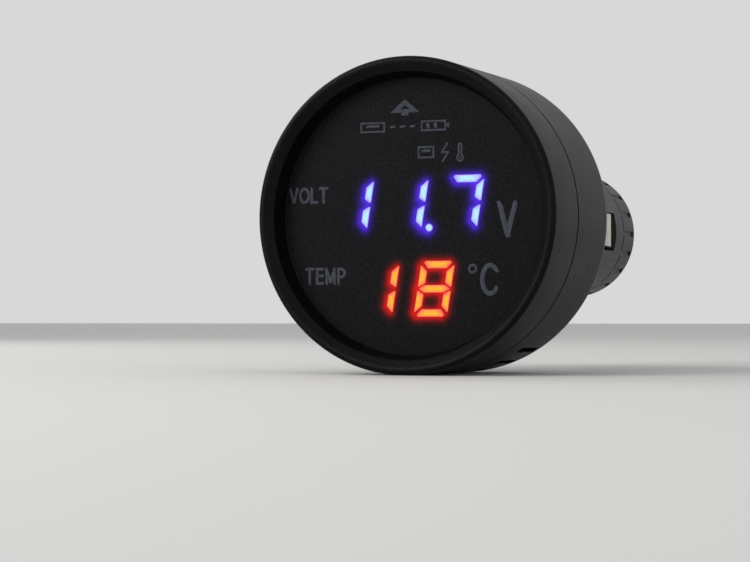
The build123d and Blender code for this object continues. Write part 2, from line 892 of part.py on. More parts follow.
def tip_contact():
    """Turned tip: a cup for the fuse, the shoulder that the cap holds, and the rounded nose."""
    nose = turned(
        (0, fuse_end_y - cup_depth),
        (cup_radius, fuse_end_y - cup_depth),
        (cup_radius, shoulder_start_y),
        (tip_shoulder_diameter / 2, shoulder_start_y),
        (tip_shoulder_diameter / 2, shoulder_end_y),
        (tip_diameter / 2, shoulder_end_y),
        (tip_diameter / 2, tip_end_y),
        (0, tip_end_y),
    )
    nose -= drum(fuse_cap_diameter / 2 + running_gap, fuse_end_y - cup_depth, fuse_end_y)
    return fillet(ring_edges(nose, tip_diameter / 2, tip_end_y), tip_round)


def fuse_caps():
    """Metal end caps of the fuse."""
    caps = []
    for start_y, inner_start in (
        (fuse_start_y, fuse_start_y + fuse_cap_wall),
        (fuse_end_y - fuse_cap_length, fuse_end_y - fuse_cap_length),
    ):
        inner_end = inner_start + fuse_cap_length - fuse_cap_wall
        cap = drum(fuse_cap_diameter / 2, start_y, start_y + fuse_cap_length)
        caps.append(cap - drum(fuse_glass_diameter / 2, inner_start, inner_end))
    return caps


def fuse_glass():
    """Glass tube of the fuse."""
    inner = fuse_glass_diameter / 2 - fuse_glass_wall
    start_y = fuse_start_y + fuse_cap_wall
    end_y = fuse_end_y - fuse_cap_wall
    return drum(fuse_glass_diameter / 2, start_y, end_y) - drum(inner, start_y, end_y)


def fuse_wire():
    """Wire that melts, from cap to cap."""
    return drum(fuse_wire_diameter / 2, fuse_start_y + fuse_cap_wall, fuse_end_y - fuse_cap_wall)


def tip_spring():
    """Coil spring between the terminal and the fuse."""
    height = spring_length - spring_wire
    radius = (spring_diameter - spring_wire) / 2
    start_y = spring_start_y + spring_wire / 2
    path = Helix(height / spring_turns, height, radius, center=(0, start_y, 0), direction=(0, 1, 0))
    section = Plane(origin=path @ 0, z_dir=path % 0) * Circle(spring_wire / 2)
    return sweep(section, path, is_frenet=True)


def spring_terminal():
    """Terminal under the spring: disc, stem through the web and foot on the power board."""
    foot_end_y = power_board_back_y - part_gap
    foot_y = (foot_end_y - terminal_foot_length, foot_end_y)
    body = drum(terminal_disc_diameter / 2, seat_y, spring_start_y)
    body += drum(terminal_stem_diameter / 2, foot_y[0], seat_y)
    half_foot = terminal_foot_width / 2
    return body + block((-half_foot, half_foot), foot_y, (power_board_top_z, 0))


nodes = {
    "front_bezel": front_bezel(),
    "head_housing": head_housing(),
    "dial_film": dial_film(),
    "dial_window": dial_window(),
    "volt_display": display_module(volt_x, volt_z, volt_digits),
    "volt_segments": display_segments(volt_x, volt_z, volt_digits),
    "temp_display": display_module(temp_x, temp_z, temp_digits),
    "temp_segments": display_segments(temp_x, temp_z, temp_digits),
    "display_board": display_board(),
    "display_chip": display_chip(),
    "display_resistors": display_resistors(),
    "board_screws": board_screws(),
    "thermistor": thermistor(),
    "usb_shell": usb_shell(),
    "usb_tongue": usb_tongue(),
    "usb_contacts": [usb_contact(x) for x in usb_contact_places],
    "header_strip": header_strip(),
    "header_pins": header_pins(),
    "power_board": power_board(),
    "inductor_core": inductor_core(),
    "inductor_winding": inductor_winding(),
    "capacitors": capacitors(),
    "regulator_chip": board_part(regulator_place, regulator_size, chip_height),
    "power_diode": board_part(diode_place, diode_size, diode_height),
    "power_resistors": power_resistors(),
    "plug_barrel": plug_barrel(),
    "barrel_screws": barrel_screws(),
    "left_contact": side_contact(-1),
    "right_contact": side_contact(1),
    "nose_cap": nose_cap(),
    "tip_contact": tip_contact(),
    "fuse_caps": fuse_caps(),
    "fuse_glass": fuse_glass(),
    "fuse_wire": fuse_wire(),
    "tip_spring": tip_spring(),
    "spring_terminal": spring_terminal(),
}

os.makedirs("parts", exist_ok=True)
for name, shape in nodes.items():
    solids = shape if isinstance(shape, list) else [shape]
    parts = [solid for piece in solids for solid in piece.solids()]
    export_step(Compound(children=parts) if len(parts) > 1 else parts[0], f"parts/{name}.step")
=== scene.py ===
from math import cos, pi, radians, sin

import bmesh
import bpy
import numpy as np
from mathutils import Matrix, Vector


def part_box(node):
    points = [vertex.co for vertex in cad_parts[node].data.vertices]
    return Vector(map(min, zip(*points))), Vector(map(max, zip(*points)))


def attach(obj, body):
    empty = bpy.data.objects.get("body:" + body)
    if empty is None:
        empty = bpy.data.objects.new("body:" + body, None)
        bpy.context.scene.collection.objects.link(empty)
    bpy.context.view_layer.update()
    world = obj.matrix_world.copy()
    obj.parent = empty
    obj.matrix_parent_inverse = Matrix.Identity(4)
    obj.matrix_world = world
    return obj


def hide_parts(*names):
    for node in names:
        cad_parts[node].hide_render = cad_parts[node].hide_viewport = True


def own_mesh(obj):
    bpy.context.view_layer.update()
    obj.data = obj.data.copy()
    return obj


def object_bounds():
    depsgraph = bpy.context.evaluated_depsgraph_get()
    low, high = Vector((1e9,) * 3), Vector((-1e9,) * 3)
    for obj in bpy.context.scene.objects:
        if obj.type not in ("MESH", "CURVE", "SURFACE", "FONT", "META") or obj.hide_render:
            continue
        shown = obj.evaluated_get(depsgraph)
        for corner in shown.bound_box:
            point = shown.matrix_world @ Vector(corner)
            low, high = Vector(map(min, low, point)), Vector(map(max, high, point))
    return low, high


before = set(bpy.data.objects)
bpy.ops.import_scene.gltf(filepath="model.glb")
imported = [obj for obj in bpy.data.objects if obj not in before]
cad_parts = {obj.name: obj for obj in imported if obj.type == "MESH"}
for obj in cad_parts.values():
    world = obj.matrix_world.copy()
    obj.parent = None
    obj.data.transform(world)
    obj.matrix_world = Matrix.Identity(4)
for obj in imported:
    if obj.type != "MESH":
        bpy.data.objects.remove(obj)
cad_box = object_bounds()

# HEAD SHELL
# The drum that stays outside the socket: one moulding in black ABS. Its tool was spark eroded, which
# leaves a fine even grain that scatters light, so the wall looks near black with no clear reflection.

MM = 0.001


def linear(code):
    """Linear colour of an sRGB hex code: each channel c is c / 12.92 near black, and above that it is
    ((c + 0.055) / 1.055) ^ 2.4."""
    channels = np.array([int(code[start:start + 2], 16) for start in (1, 3, 5)]) / 255
    light = np.where(channels <= 0.04045, channels / 12.92, ((channels + 0.055) / 1.055) ** 2.4)
    return (*light.tolist(), 1.0)


def add(tree, kind, inputs=(), **settings):
    """Adds one node; inputs maps a socket's name or number to a value, or to the output that feeds it."""
    made = tree.nodes.new(kind)
    for name, value in settings.items():
        setattr(made, name, value)
    for socket, value in dict(inputs).items():
        if isinstance(value, bpy.types.NodeSocket):
            tree.links.new(value, made.inputs[socket])
        else:
            made.inputs[socket].default_value = value
    return made


def new_material(name):
    """An empty node tree under a material's name."""
    material = bpy.data.materials.new(name)
    material.use_nodes = True
    material.node_tree.nodes.clear()
    return material, material.node_tree


def moulded(name, dark, light, grain, depth, roughness, specular, patch=9 * MM):
    """Moulded plastic or resin: an even grain left by the tool, and slow patches of tone and gloss. Real
    grains are finer than a render shows, at about 0.1 mm, so each one here is drawn coarser."""
    material, tree = new_material(name)
    place = add(tree, "ShaderNodeTexCoord").outputs["Object"]
    cloud = add(tree, "ShaderNodeTexNoise", {"Vector": place, "Scale": 1 / patch, "Detail": 3.0})
    fine = add(tree, "ShaderNodeTexNoise", {"Vector": place, "Scale": 1 / grain, "Detail": 2.0})
    slow, quick = cloud.outputs["Fac"], fine.outputs["Fac"]
    tone = add(tree, "ShaderNodeMath", {0: slow, 1: quick}, operation="MULTIPLY").outputs[0]
    share = add(tree, "ShaderNodeMapRange", {"Value": tone, "From Min": 0.12, "From Max": 0.42})
    colour = add(
        tree, "ShaderNodeMixRGB",
        {"Fac": share.outputs[0], "Color1": linear(dark), "Color2": linear(light)},
    )
    gloss = add(
        tree, "ShaderNodeMapRange",
        {"Value": slow, "To Min": roughness - 0.05, "To Max": roughness + 0.06},
    )
    bump = add(tree, "ShaderNodeBump", {"Height": quick, "Distance": depth, "Strength": 1.0})
    shader = add(
        tree,
        "ShaderNodeBsdfPrincipled",
        {
            "Base Color": colour.outputs[0],
            "Roughness": gloss.outputs[0],
            "Specular IOR Level": specular,
            "IOR": 1.5,
            "Normal": bump.outputs[0],
        },
    )
    add(tree, "ShaderNodeOutputMaterial", {"Surface": shader.outputs[0]})
    return material


def dress(material, *names):
    """Gives a material to CAD nodes."""
    for name in names:
        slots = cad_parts[name].data.materials
        slots.clear()
        slots.append(material)


spark_textured_abs = moulded(
    "spark_textured_abs", "#060607", "#0f0f10",
    grain=0.34 * MM, depth=0.07 * MM, roughness=0.36, specular=0.085,
)
dress(spark_textured_abs, "head_housing")

# BEZEL RING
# The front ring, a separate moulding in the same grained ABS, snapped into the shell. Its crest is near the
# rim, the lip falls inwards from there, and the inner wall tapers back to the printed face.

RING_OUTER_ROUND = 0.6 * MM
RING_CREST_ROUND = 0.8 * MM
RING_INNER_ROUND = 0.3 * MM
RING_CREST_WIDTH = 0.9 * MM
RING_LIP_WIDTH = 2.05 * MM
RING_LIP_DROP = 0.8 * MM
RING_RECESS_TAPER = 0.7 * MM
RING_FOOT_BEVEL = 0.15 * MM
RING_SEAM_CHAMFER = 0.25 * MM
RING_SKIRT_LENGTH = 2.0 * MM
RING_POCKET_GAP = 0.1 * MM
RING_SKIRT_WALL = 0.8 * MM
RING_SNAP_BEAD = 0.25 * MM
ROUND_POINTS = 9
TURNED_COLUMNS = 360
MERGE_DISTANCE = 1e-7
CREASE_ANGLE = radians(30)


def rounded(corners):
    """Closed outline through (x, y, round) corners. With a and b the unit directions from a corner P to its
    neighbours, the round's middle is P + r (a + b) / |a x b|. Its points swing evenly from side to side."""
    spots, sizes = np.array(corners)[:, :2], np.array(corners)[:, 2]
    outline = []
    for spot, before, after, size in zip(spots, np.roll(spots, 1, 0), np.roll(spots, -1, 0), sizes):
        if not size:
            outline.append(spot[None])
            continue
        a = (before - spot) / np.linalg.norm(before - spot)
        b = (after - spot) / np.linalg.norm(after - spot)
        spread = abs(a[0] * b[1] - a[1] * b[0])
        middle = spot + size * (a + b) / spread
        reach = size * (1 + a @ b) / spread
        first = (spot + reach * a - middle) / size
        last = (spot + reach * b - middle) / size
        swing = np.arccos(first @ last)
        share = np.linspace(0, 1, ROUND_POINTS)[:, None]
        swung = np.sin((1 - share) * swing) * first + np.sin(share * swing) * last
        outline.append(middle + size * swung / np.sin(swing))
    return np.concatenate(outline + [outline[0][:1]])


def turn(profile, columns):
    """Turns a (radius, y) profile about Y: (r cos a, y, r sin a) with a once round, as one grid."""
    angle = np.linspace(0, 2 * pi, columns, endpoint=False)
    radius, along = profile[:, 0, None], profile[:, 1, None]
    return np.stack([radius * np.cos(angle), along + 0 * angle, radius * np.sin(angle)], axis=-1)[None]


def skin(name, grids, material, body):
    """One mesh from grids of points (grid, row, column, xyz): a quad for each cell, with each row closed
    on itself. Points that coincide are merged, which closes the poles, and the faces turned outwards."""
    count, rows, columns = grids.shape[:3]
    index = np.arange(count * rows * columns).reshape(count, rows, columns)
    index = np.concatenate([index, index[:, :, :1]], axis=2)
    quads = np.stack([index[:, :-1, :-1], index[:, 1:, :-1], index[:, 1:, 1:], index[:, :-1, 1:]], axis=-1)
    mesh = bpy.data.meshes.new(name)
    mesh.from_pydata(grids.reshape(-1, 3).tolist(), [], quads.reshape(-1, 4).tolist())
    shape = bmesh.new()
    shape.from_mesh(mesh)
    bmesh.ops.remove_doubles(shape, verts=shape.verts, dist=MERGE_DISTANCE)
    bmesh.ops.recalc_face_normals(shape, faces=shape.faces)
    shape.to_mesh(mesh)
    shape.free()
    mesh.polygons.foreach_set("use_smooth", np.ones(len(mesh.polygons), bool))
    mesh.set_sharp_from_angle(angle=CREASE_ANGLE)
    mesh.materials.append(material)
    piece = bpy.data.objects.new(name, mesh)
    bpy.context.scene.collection.objects.link(piece)
    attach(piece, body)
    return piece


ring_low, ring_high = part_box("front_bezel")
film_low, film_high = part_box("dial_film")
ring_radius = ring_high.x
lip_radius = ring_radius - RING_LIP_WIDTH
dial_radius = lip_radius - RING_RECESS_TAPER
ring_front = ring_low.y
dial_front = film_low.y
ring_back = ring_high.y
ring_seam = ring_back - RING_SKIRT_LENGTH
pocket_radius = film_high.x + RING_POCKET_GAP
skirt_radius = pocket_radius + RING_SKIRT_WALL
bead_middle = (ring_seam + ring_back) / 2
ring_profile = rounded([
    (lip_radius, ring_front + RING_LIP_DROP, RING_INNER_ROUND),
    (ring_radius - RING_CREST_WIDTH, ring_front, RING_CREST_ROUND),
    (ring_radius, ring_front, RING_OUTER_ROUND),
    (ring_radius, ring_seam - RING_SEAM_CHAMFER, 0),
    (ring_radius - RING_SEAM_CHAMFER, ring_seam, 0),
    (skirt_radius, ring_seam, 0),
    (skirt_radius, bead_middle - 2 * RING_SNAP_BEAD, 0),
    (skirt_radius + RING_SNAP_BEAD, bead_middle, 0),
    (skirt_radius, bead_middle + 2 * RING_SNAP_BEAD, 0),
    (skirt_radius, ring_back, 0),
    (pocket_radius, ring_back, 0),
    (pocket_radius, dial_front, 0),
    (dial_radius, dial_front, 0),
    (dial_radius + RING_FOOT_BEVEL, dial_front - RING_FOOT_BEVEL, 0),
])
ring_grid = turn(ring_profile, TURNED_COLUMNS)
bezel_ring = skin("bezel_ring", ring_grid, spark_textured_abs, "meter_body")
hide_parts("front_bezel")

# PRINTED FACE
# A polycarbonate film, screen printed in matt charcoal on its front, stuck to the smoked plate. Light
# from the digits spreads a little in the film, so each lit bar has a soft glow round it.

FACE_RINGS = 110
FACE_COLUMNS = 600
DIGIT_SLANT = 0.16
DIGIT_PITCH = 8.0 * MM
HALF_WIDTH = 2.44 * MM
HALF_HEIGHT = 3.78 * MM
BAR_WIDTH = 1.02 * MM
BAR_TIP = 0.1 * MM
CRISP = 0.06 * MM
SOFT = 0.28 * MM
BAR_GAP = 0.28 * MM
BAR_POINTS = 96
BAR_RINGS = 6
END_BAR_REACH = 2.02 * MM
END_BAR_TAPER = 0.62 * MM
END_BAR_CORNER = 0.18 * MM
END_BAR_SHOULDER = 0.27 * MM
MIDDLE_BAR_REACH = 2.27 * MM
MIDDLE_BAR_POINT = 0.78 * MM
SIDE_BAR_CUT = 0.6 * MM
SIDE_BAR_MITRE = 0.82 * MM
SIDE_BAR_NOTCH = 0.48 * MM
POINT_RADIUS = 0.52 * MM
POINT_OFFSET = 3.0 * MM
VOLT_READING = "117"
POINT_AFTER = 1
TEMP_READING = "18"
SIDES = ("upper_right", "lower_right", "upper_left", "lower_left")
LIT_BARS = {"1": SIDES[:2], "7": ("top", *SIDES[:2]), "8": ("top", "middle", "bottom", *SIDES)}
GLOW_DRIFT = 0.24 * MM
GLOW_LEVEL = 0.85
GLOW_FALL = 1.4
VOLT_REACH = 0.62 * MM
TEMP_REACH = 0.5 * MM


def bar_edge(bar):
    """Even points round one bar of an upright digit, from six rounded corners. Top and bottom bars are
    trapezia with their outer corners off, the middle one is a hexagon, and the sides are mitred to them."""
    if bar == "middle":
        reach, short, half = MIDDLE_BAR_REACH, MIDDLE_BAR_REACH - MIDDLE_BAR_POINT, BAR_WIDTH / 2
        corners = [(-reach, 0, CRISP), (-short, half, SOFT), (short, half, SOFT)]
        corners += [(reach, 0, CRISP), (short, -half, SOFT), (-short, -half, SOFT)]
    elif bar in ("top", "bottom"):
        reach, outer, inner = END_BAR_REACH, END_BAR_REACH - END_BAR_CORNER, END_BAR_REACH - END_BAR_TAPER
        shoulder, foot = HALF_HEIGHT - END_BAR_SHOULDER, HALF_HEIGHT - BAR_WIDTH
        corners = [(-reach, shoulder, CRISP), (-outer, HALF_HEIGHT, CRISP), (outer, HALF_HEIGHT, CRISP)]
        corners += [(reach, shoulder, CRISP), (inner, foot, SOFT), (-inner, foot, SOFT)]
    else:
        tip, inside = HALF_HEIGHT - SIDE_BAR_CUT, HALF_WIDTH - BAR_WIDTH
        corners = [(HALF_WIDTH, BAR_GAP, CRISP), (HALF_WIDTH, tip - BAR_TIP, CRISP)]
        corners += [(HALF_WIDTH - BAR_TIP, tip, CRISP), (inside, tip - SIDE_BAR_MITRE, SOFT)]
        corners += [(inside, BAR_GAP + SIDE_BAR_NOTCH, SOFT), (HALF_WIDTH - BAR_WIDTH / 4, BAR_GAP, CRISP)]
    mirror = (-1 if bar.endswith("left") else 1, -1 if bar.startswith(("lower", "bottom")) else 1, 1)
    edge = rounded(np.array(corners) * mirror)
    length = np.concatenate([[0], np.cumsum(np.linalg.norm(np.diff(edge, axis=0), axis=1))])
    station = np.linspace(0, length[-1], BAR_POINTS, endpoint=False)
    return np.stack([np.interp(station, length, edge[:, axis]) for axis in (0, 1)], axis=-1)


def digit_centre(node, place, count):
    """Middle of one digit: the row is centred on its CAD node's module, a pitch from digit to digit."""
    low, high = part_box(node)
    return np.array([(low.x + high.x) / 2 + (place - (count - 1) / 2) * DIGIT_PITCH, (low.z + high.z) / 2])


def lit_bars(node, reading):
    """The (x, z) edge of each lit bar, leaned by x + slant * z and moved to its digit's place."""
    lean = np.array([[1, 0], [DIGIT_SLANT, 1]])
    return np.array([
        bar_edge(bar) @ lean + digit_centre(node, place, len(reading))
        for place, digit in enumerate(reading)
        for bar in LIT_BARS[digit]
    ])


def glow(x, z, edges, reach):
    """Light in the film from all bars: 1 - product of (1 - level * exp(-(d / reach)^fall)), where d is the
    distance from a bar's edge. The diodes lie behind the film, so the glow drifts a little left and down."""
    dark = np.ones(len(x))
    for edge in edges:
        near = np.full(len(x), np.inf)
        for spot in edge:
            near = np.minimum(near, np.hypot(x - spot[0] + GLOW_DRIFT, z - spot[1] + GLOW_DRIFT / 2))
        dark *= 1 - GLOW_LEVEL * np.exp(-((near / reach) ** GLOW_FALL))
    return 1 - dark


def charcoal_print():
    """Matt screen print: charcoal ink with a pale speckle of matting grains, and the digits' glow through
    it. The real grains are about 0.03 mm across. They are drawn at 0.22 mm, so that they show."""
    material, tree = new_material("charcoal_screen_print")
    place = add(tree, "ShaderNodeTexCoord").outputs["Object"]
    grain = add(tree, "ShaderNodeTexNoise", {"Vector": place, "Scale": 1 / (0.22 * MM), "Detail": 3.0})
    cloud = add(tree, "ShaderNodeTexNoise", {"Vector": place, "Scale": 1 / (7 * MM), "Detail": 2.0})
    speck = add(
        tree, "ShaderNodeMapRange",
        {"Value": grain.outputs["Fac"], "From Min": 0.35, "From Max": 0.75},
    )
    body = add(
        tree,
        "ShaderNodeMixRGB",
        {"Fac": cloud.outputs["Fac"], "Color1": linear("#08080a"), "Color2": linear("#0d0d0f")},
    )
    colour = add(
        tree,
        "ShaderNodeMixRGB",
        {"Fac": speck.outputs[0], "Color1": body.outputs[0], "Color2": linear("#1c1c1e")},
    )
    lights = []
    for name, edge, core in (("volt_glow", "#2c1284", "#5428f0"), ("temp_glow", "#8c0600", "#dc0800")):
        level = add(tree, "ShaderNodeAttribute", attribute_name=name).outputs["Fac"]
        tint = add(tree, "ShaderNodeMixRGB", {"Fac": level, "Color1": linear(edge), "Color2": linear(core)})
        light = add(tree, "ShaderNodeVectorMath", {0: tint.outputs[0], "Scale": level}, operation="SCALE")
        lights.append(light.outputs[0])
    both = add(tree, "ShaderNodeVectorMath", {0: lights[0], 1: lights[1]}, operation="ADD")
    bump = add(tree, "ShaderNodeBump", {"Height": grain.outputs["Fac"], "Distance": 0.012 * MM})
    shader = add(
        tree,
        "ShaderNodeBsdfPrincipled",
        {
            "Base Color": colour.outputs[0],
            "Roughness": 0.46,
            "Specular IOR Level": 0.055,
            "IOR": 1.5,
            "Emission Color": both.outputs[0],
            "Emission Strength": 1.0,
            "Normal": bump.outputs[0],
        },
    )
    add(tree, "ShaderNodeOutputMaterial", {"Surface": shader.outputs[0]})
    return material


face_profile = np.concatenate([
    np.stack([np.linspace(0, film_high.x, FACE_RINGS), np.full(FACE_RINGS, dial_front)], axis=-1),
    np.array([(film_high.x, film_high.y), (0, film_high.y)]),
])
dial_face = skin("dial_face", turn(face_profile, FACE_COLUMNS), charcoal_print(), "meter_body")
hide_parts("dial_film")
volt_edges = lit_bars("volt_display", VOLT_READING)
temp_edges = lit_bars("temp_display", TEMP_READING)
point_turn = np.linspace(0, 2 * pi, BAR_POINTS, endpoint=False)
point_middle = digit_centre("volt_display", POINT_AFTER, len(VOLT_READING))
point_middle = point_middle + (POINT_OFFSET, POINT_RADIUS - HALF_HEIGHT)
point_edge = point_middle + POINT_RADIUS * np.stack([np.cos(point_turn), np.sin(point_turn)], axis=-1)
volt_edges = np.concatenate([volt_edges, point_edge[None]])
face_points = np.zeros(3 * len(dial_face.data.vertices))
dial_face.data.vertices.foreach_get("co", face_points)
face_x, face_z = face_points.reshape(-1, 3)[:, [0, 2]].T
glows = (("volt_glow", volt_edges, VOLT_REACH), ("temp_glow", temp_edges, TEMP_REACH))
for glow_name, edges, reach in glows:
    light = dial_face.data.attributes.new(glow_name, "FLOAT", "POINT")
    light.data.foreach_set("value", glow(face_x, face_z, edges, reach))

# LIT DIGITS
# Clear windows in the print over the lit bars of the two modules: blue for volts, orange-red for degrees.
# The diode sits behind the middle of each bar, so that it is palest there and deepest at its edges.

WINDOW_RISE = 0.05 * MM
WINDOW_SINK = 0.02 * MM


def window_pane(edges):
    """Closes each edge into a low lens. Ring k of n has the edge drawn in towards its middle by the share
    k / n, and stands proud by rise * sqrt(share); the back is flat, sunk into the film."""
    middle = edges.mean(axis=1, keepdims=True)
    share = np.linspace(0, 1, BAR_RINGS + 1)[None, :, None, None]
    front = edges[:, None] + (middle - edges)[:, None] * share
    back = np.concatenate([front[:, -1:], front[:, :1]], axis=1)
    places = np.concatenate([back, front], axis=1)
    flat = np.full((1, 2, 1), dial_front + WINDOW_SINK)
    depth = np.concatenate([flat, dial_front - WINDOW_RISE * np.sqrt(share[..., 0])], axis=1)
    return np.stack([places[..., 0], depth + 0 * places[..., 0], places[..., 1]], axis=-1)


def light_window(name, edge, end, middle):
    """Milky cast resin over a lit diode: deep at its edge, paler inside and palest over the diode, with a
    slow haze of 0.5 mm from the filler in the resin."""
    material, tree = new_material(name)
    depth = add(tree, "ShaderNodeAttribute", attribute_name="depth_inside").outputs["Fac"]
    place = add(tree, "ShaderNodeTexCoord").outputs["Object"]
    haze = add(tree, "ShaderNodeTexNoise", {"Vector": place, "Scale": 1 / (0.5 * MM), "Detail": 2.0})
    rim = add(tree, "ShaderNodeMapRange", {"Value": depth, "From Min": -0.12, "From Max": 0.2})
    core = add(tree, "ShaderNodeMath", {0: depth, 1: haze.outputs["Fac"]}, operation="MULTIPLY")
    spread = add(tree, "ShaderNodeMapRange", {"Value": core.outputs[0], "From Min": 0.04, "From Max": 0.3})
    inner = add(
        tree,
        "ShaderNodeMixRGB",
        {"Fac": spread.outputs[0], "Color1": linear(end), "Color2": linear(middle)},
    )
    colour = add(
        tree,
        "ShaderNodeMixRGB",
        {"Fac": rim.outputs[0], "Color1": linear(edge), "Color2": inner.outputs[0]},
    )
    shader = add(
        tree,
        "ShaderNodeBsdfPrincipled",
        {
            "Base Color": linear("#101012"),
            "Roughness": 0.4,
            "Specular IOR Level": 0.2,
            "Emission Color": colour.outputs[0],
            "Emission Strength": 1.0,
        },
    )
    add(tree, "ShaderNodeOutputMaterial", {"Surface": shader.outputs[0]})
    return material


def lit_row(name, edges, material, node):
    """One mesh of a row's windows. Each point keeps how far in it is, as a share: 0 at the edge, 1 in the
    middle, found from the grid point nearest to it."""
    grids = window_pane(edges)
    piece = skin(name, grids, material, "meter_body")
    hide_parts(node)
    points = np.zeros(3 * len(piece.data.vertices))
    piece.data.vertices.foreach_get("co", points)
    share = np.concatenate([[1, 0], np.linspace(0, 1, BAR_RINGS + 1)])[None, :, None] + 0 * grids[..., 0]
    gap = ((points.reshape(-1, 1, 3) - grids.reshape(1, -1, 3)) ** 2).sum(-1)
    depth = share.reshape(-1)[np.argmin(gap, axis=1)]
    piece.data.attributes.new("depth_inside", "FLOAT", "POINT").data.foreach_set("value", depth)


blue_window = light_window("blue_diode_window", "#7a5cff", "#b4b4ff", "#b8ecff")
orange_window = light_window("orange_diode_window", "#f43c20", "#ff7854", "#ffb428")
lit_row("volt_digits", volt_edges, blue_window, "volt_segments")
lit_row("temp_digits", temp_edges, orange_window, "temp_segments")

# PRINTED MARKS
# Grey-blue ink screened over the charcoal: the rows' names and units, an arrow to the port, and plain
# signs. An ink layer is a few hundredths of a millimetre thick, matt and level almost to its edge.

INK_RISE = 0.03 * MM
INK_SINK = 0.01 * MM
INK_FULLNESS = 0.03
STROKE_POINTS = 25
STROKE_COLUMNS = 5
PEN = 0.4
FINE_PEN = 0.26


def straight(start, end):
    """Evenly spaced points of a straight line."""
    return np.linspace(start, end, STROKE_POINTS)


def bow(centre, radius, start, end):
    """Points of an arc in degrees; radius may differ across and up."""
    angle = np.radians(np.linspace(start, end, STROKE_POINTS))
    return np.stack([centre[0] + radius[0] * np.cos(angle), centre[1] + radius[1] * np.sin(angle)], axis=-1)


def stroke(path, width, level=False):
    """A pen stroke along (x, z) points in mm, carried on by half the width at both ends. Each point is
    pushed half the width to both sides along the path's normal, or sideways where the cut is level."""
    steps = np.gradient(path, axis=0)
    steps /= np.linalg.norm(steps, axis=1)[:, None]
    reach = steps * width / 2
    path = np.concatenate([path[:1] - reach[:1], path[1:-1], path[-1:] + reach[-1:]])
    normal = np.stack([-steps[:, 1], steps[:, 0]], axis=-1)
    sideways = np.broadcast_to((1.0, 0.0), normal.shape) if level else normal
    offset = np.linspace(-0.5, 0.5, STROKE_COLUMNS)[None, :, None] * width
    return (path[:, None] + sideways[:, None] * offset) * MM


def between(first, second):
    """A filled patch: straight lines from each point of one path to the same point of the other."""
    share = np.linspace(0, 1, STROKE_COLUMNS)[None, :, None]
    return (first[:, None] * (1 - share) + second[:, None] * share) * MM


def frame_strokes(left, right, low, high, width):
    """Four strokes round a rectangle."""
    corners = [(left, low), (right, low), (right, high), (left, high), (left, low)]
    return [stroke(straight(start, end), width) for start, end in zip(corners, corners[1:])]


# Each capital's width, its upright and round strokes, and its slanting ones, in a unit square.
LETTERS = {
    "V": (1.4, [], [straight((0, 1), (0.48, 0)), straight((1, 1), (0.52, 0))]),
    "O": (1.6, [bow((0.5, 0.5), (0.5, 0.5), 0, 360)], []),
    "L": (1.17, [straight((0, 1), (0, 0)), straight((0, 0), (1, 0))], []),
    "T": (1.36, [straight((0, 1), (1, 1)), straight((0.5, 1), (0.5, 0))], []),
    "E": (1.2, [straight((0, 0), (0, 1))] + [straight((0, rung), (1, rung)) for rung in (0, 0.52, 1)], []),
    "M": (1.5, [straight((x, 0), (x, 1)) for x in (0, 1)], [straight((x, 1), (0.5, 0.1)) for x in (0, 1)]),
    "P": (1.3, [straight((0, 0), (0, 1)), bow((0.3, 0.72), (0.7, 0.28), 90, -90)]
          + [straight((0, rung), (0.3, rung)) for rung in (0.44, 1)], []),
}


def word(text, left, right, low, high, gap):
    """A dial's plain block capitals: the letters share the length by their own widths, with even gaps."""
    unit = (right - left - gap * (len(text) - 1)) / sum(LETTERS[letter][0] for letter in text)
    strokes = []
    for letter in text:
        width, plain, slanting = LETTERS[letter]
        size = np.array([width * unit - PEN, high - low - PEN])
        for paths, level in ((plain, False), (slanting, True)):
            strokes += [stroke(path * size + (left + PEN / 2, low + PEN / 2), PEN, level) for path in paths]
        left += width * unit + gap
    return strokes


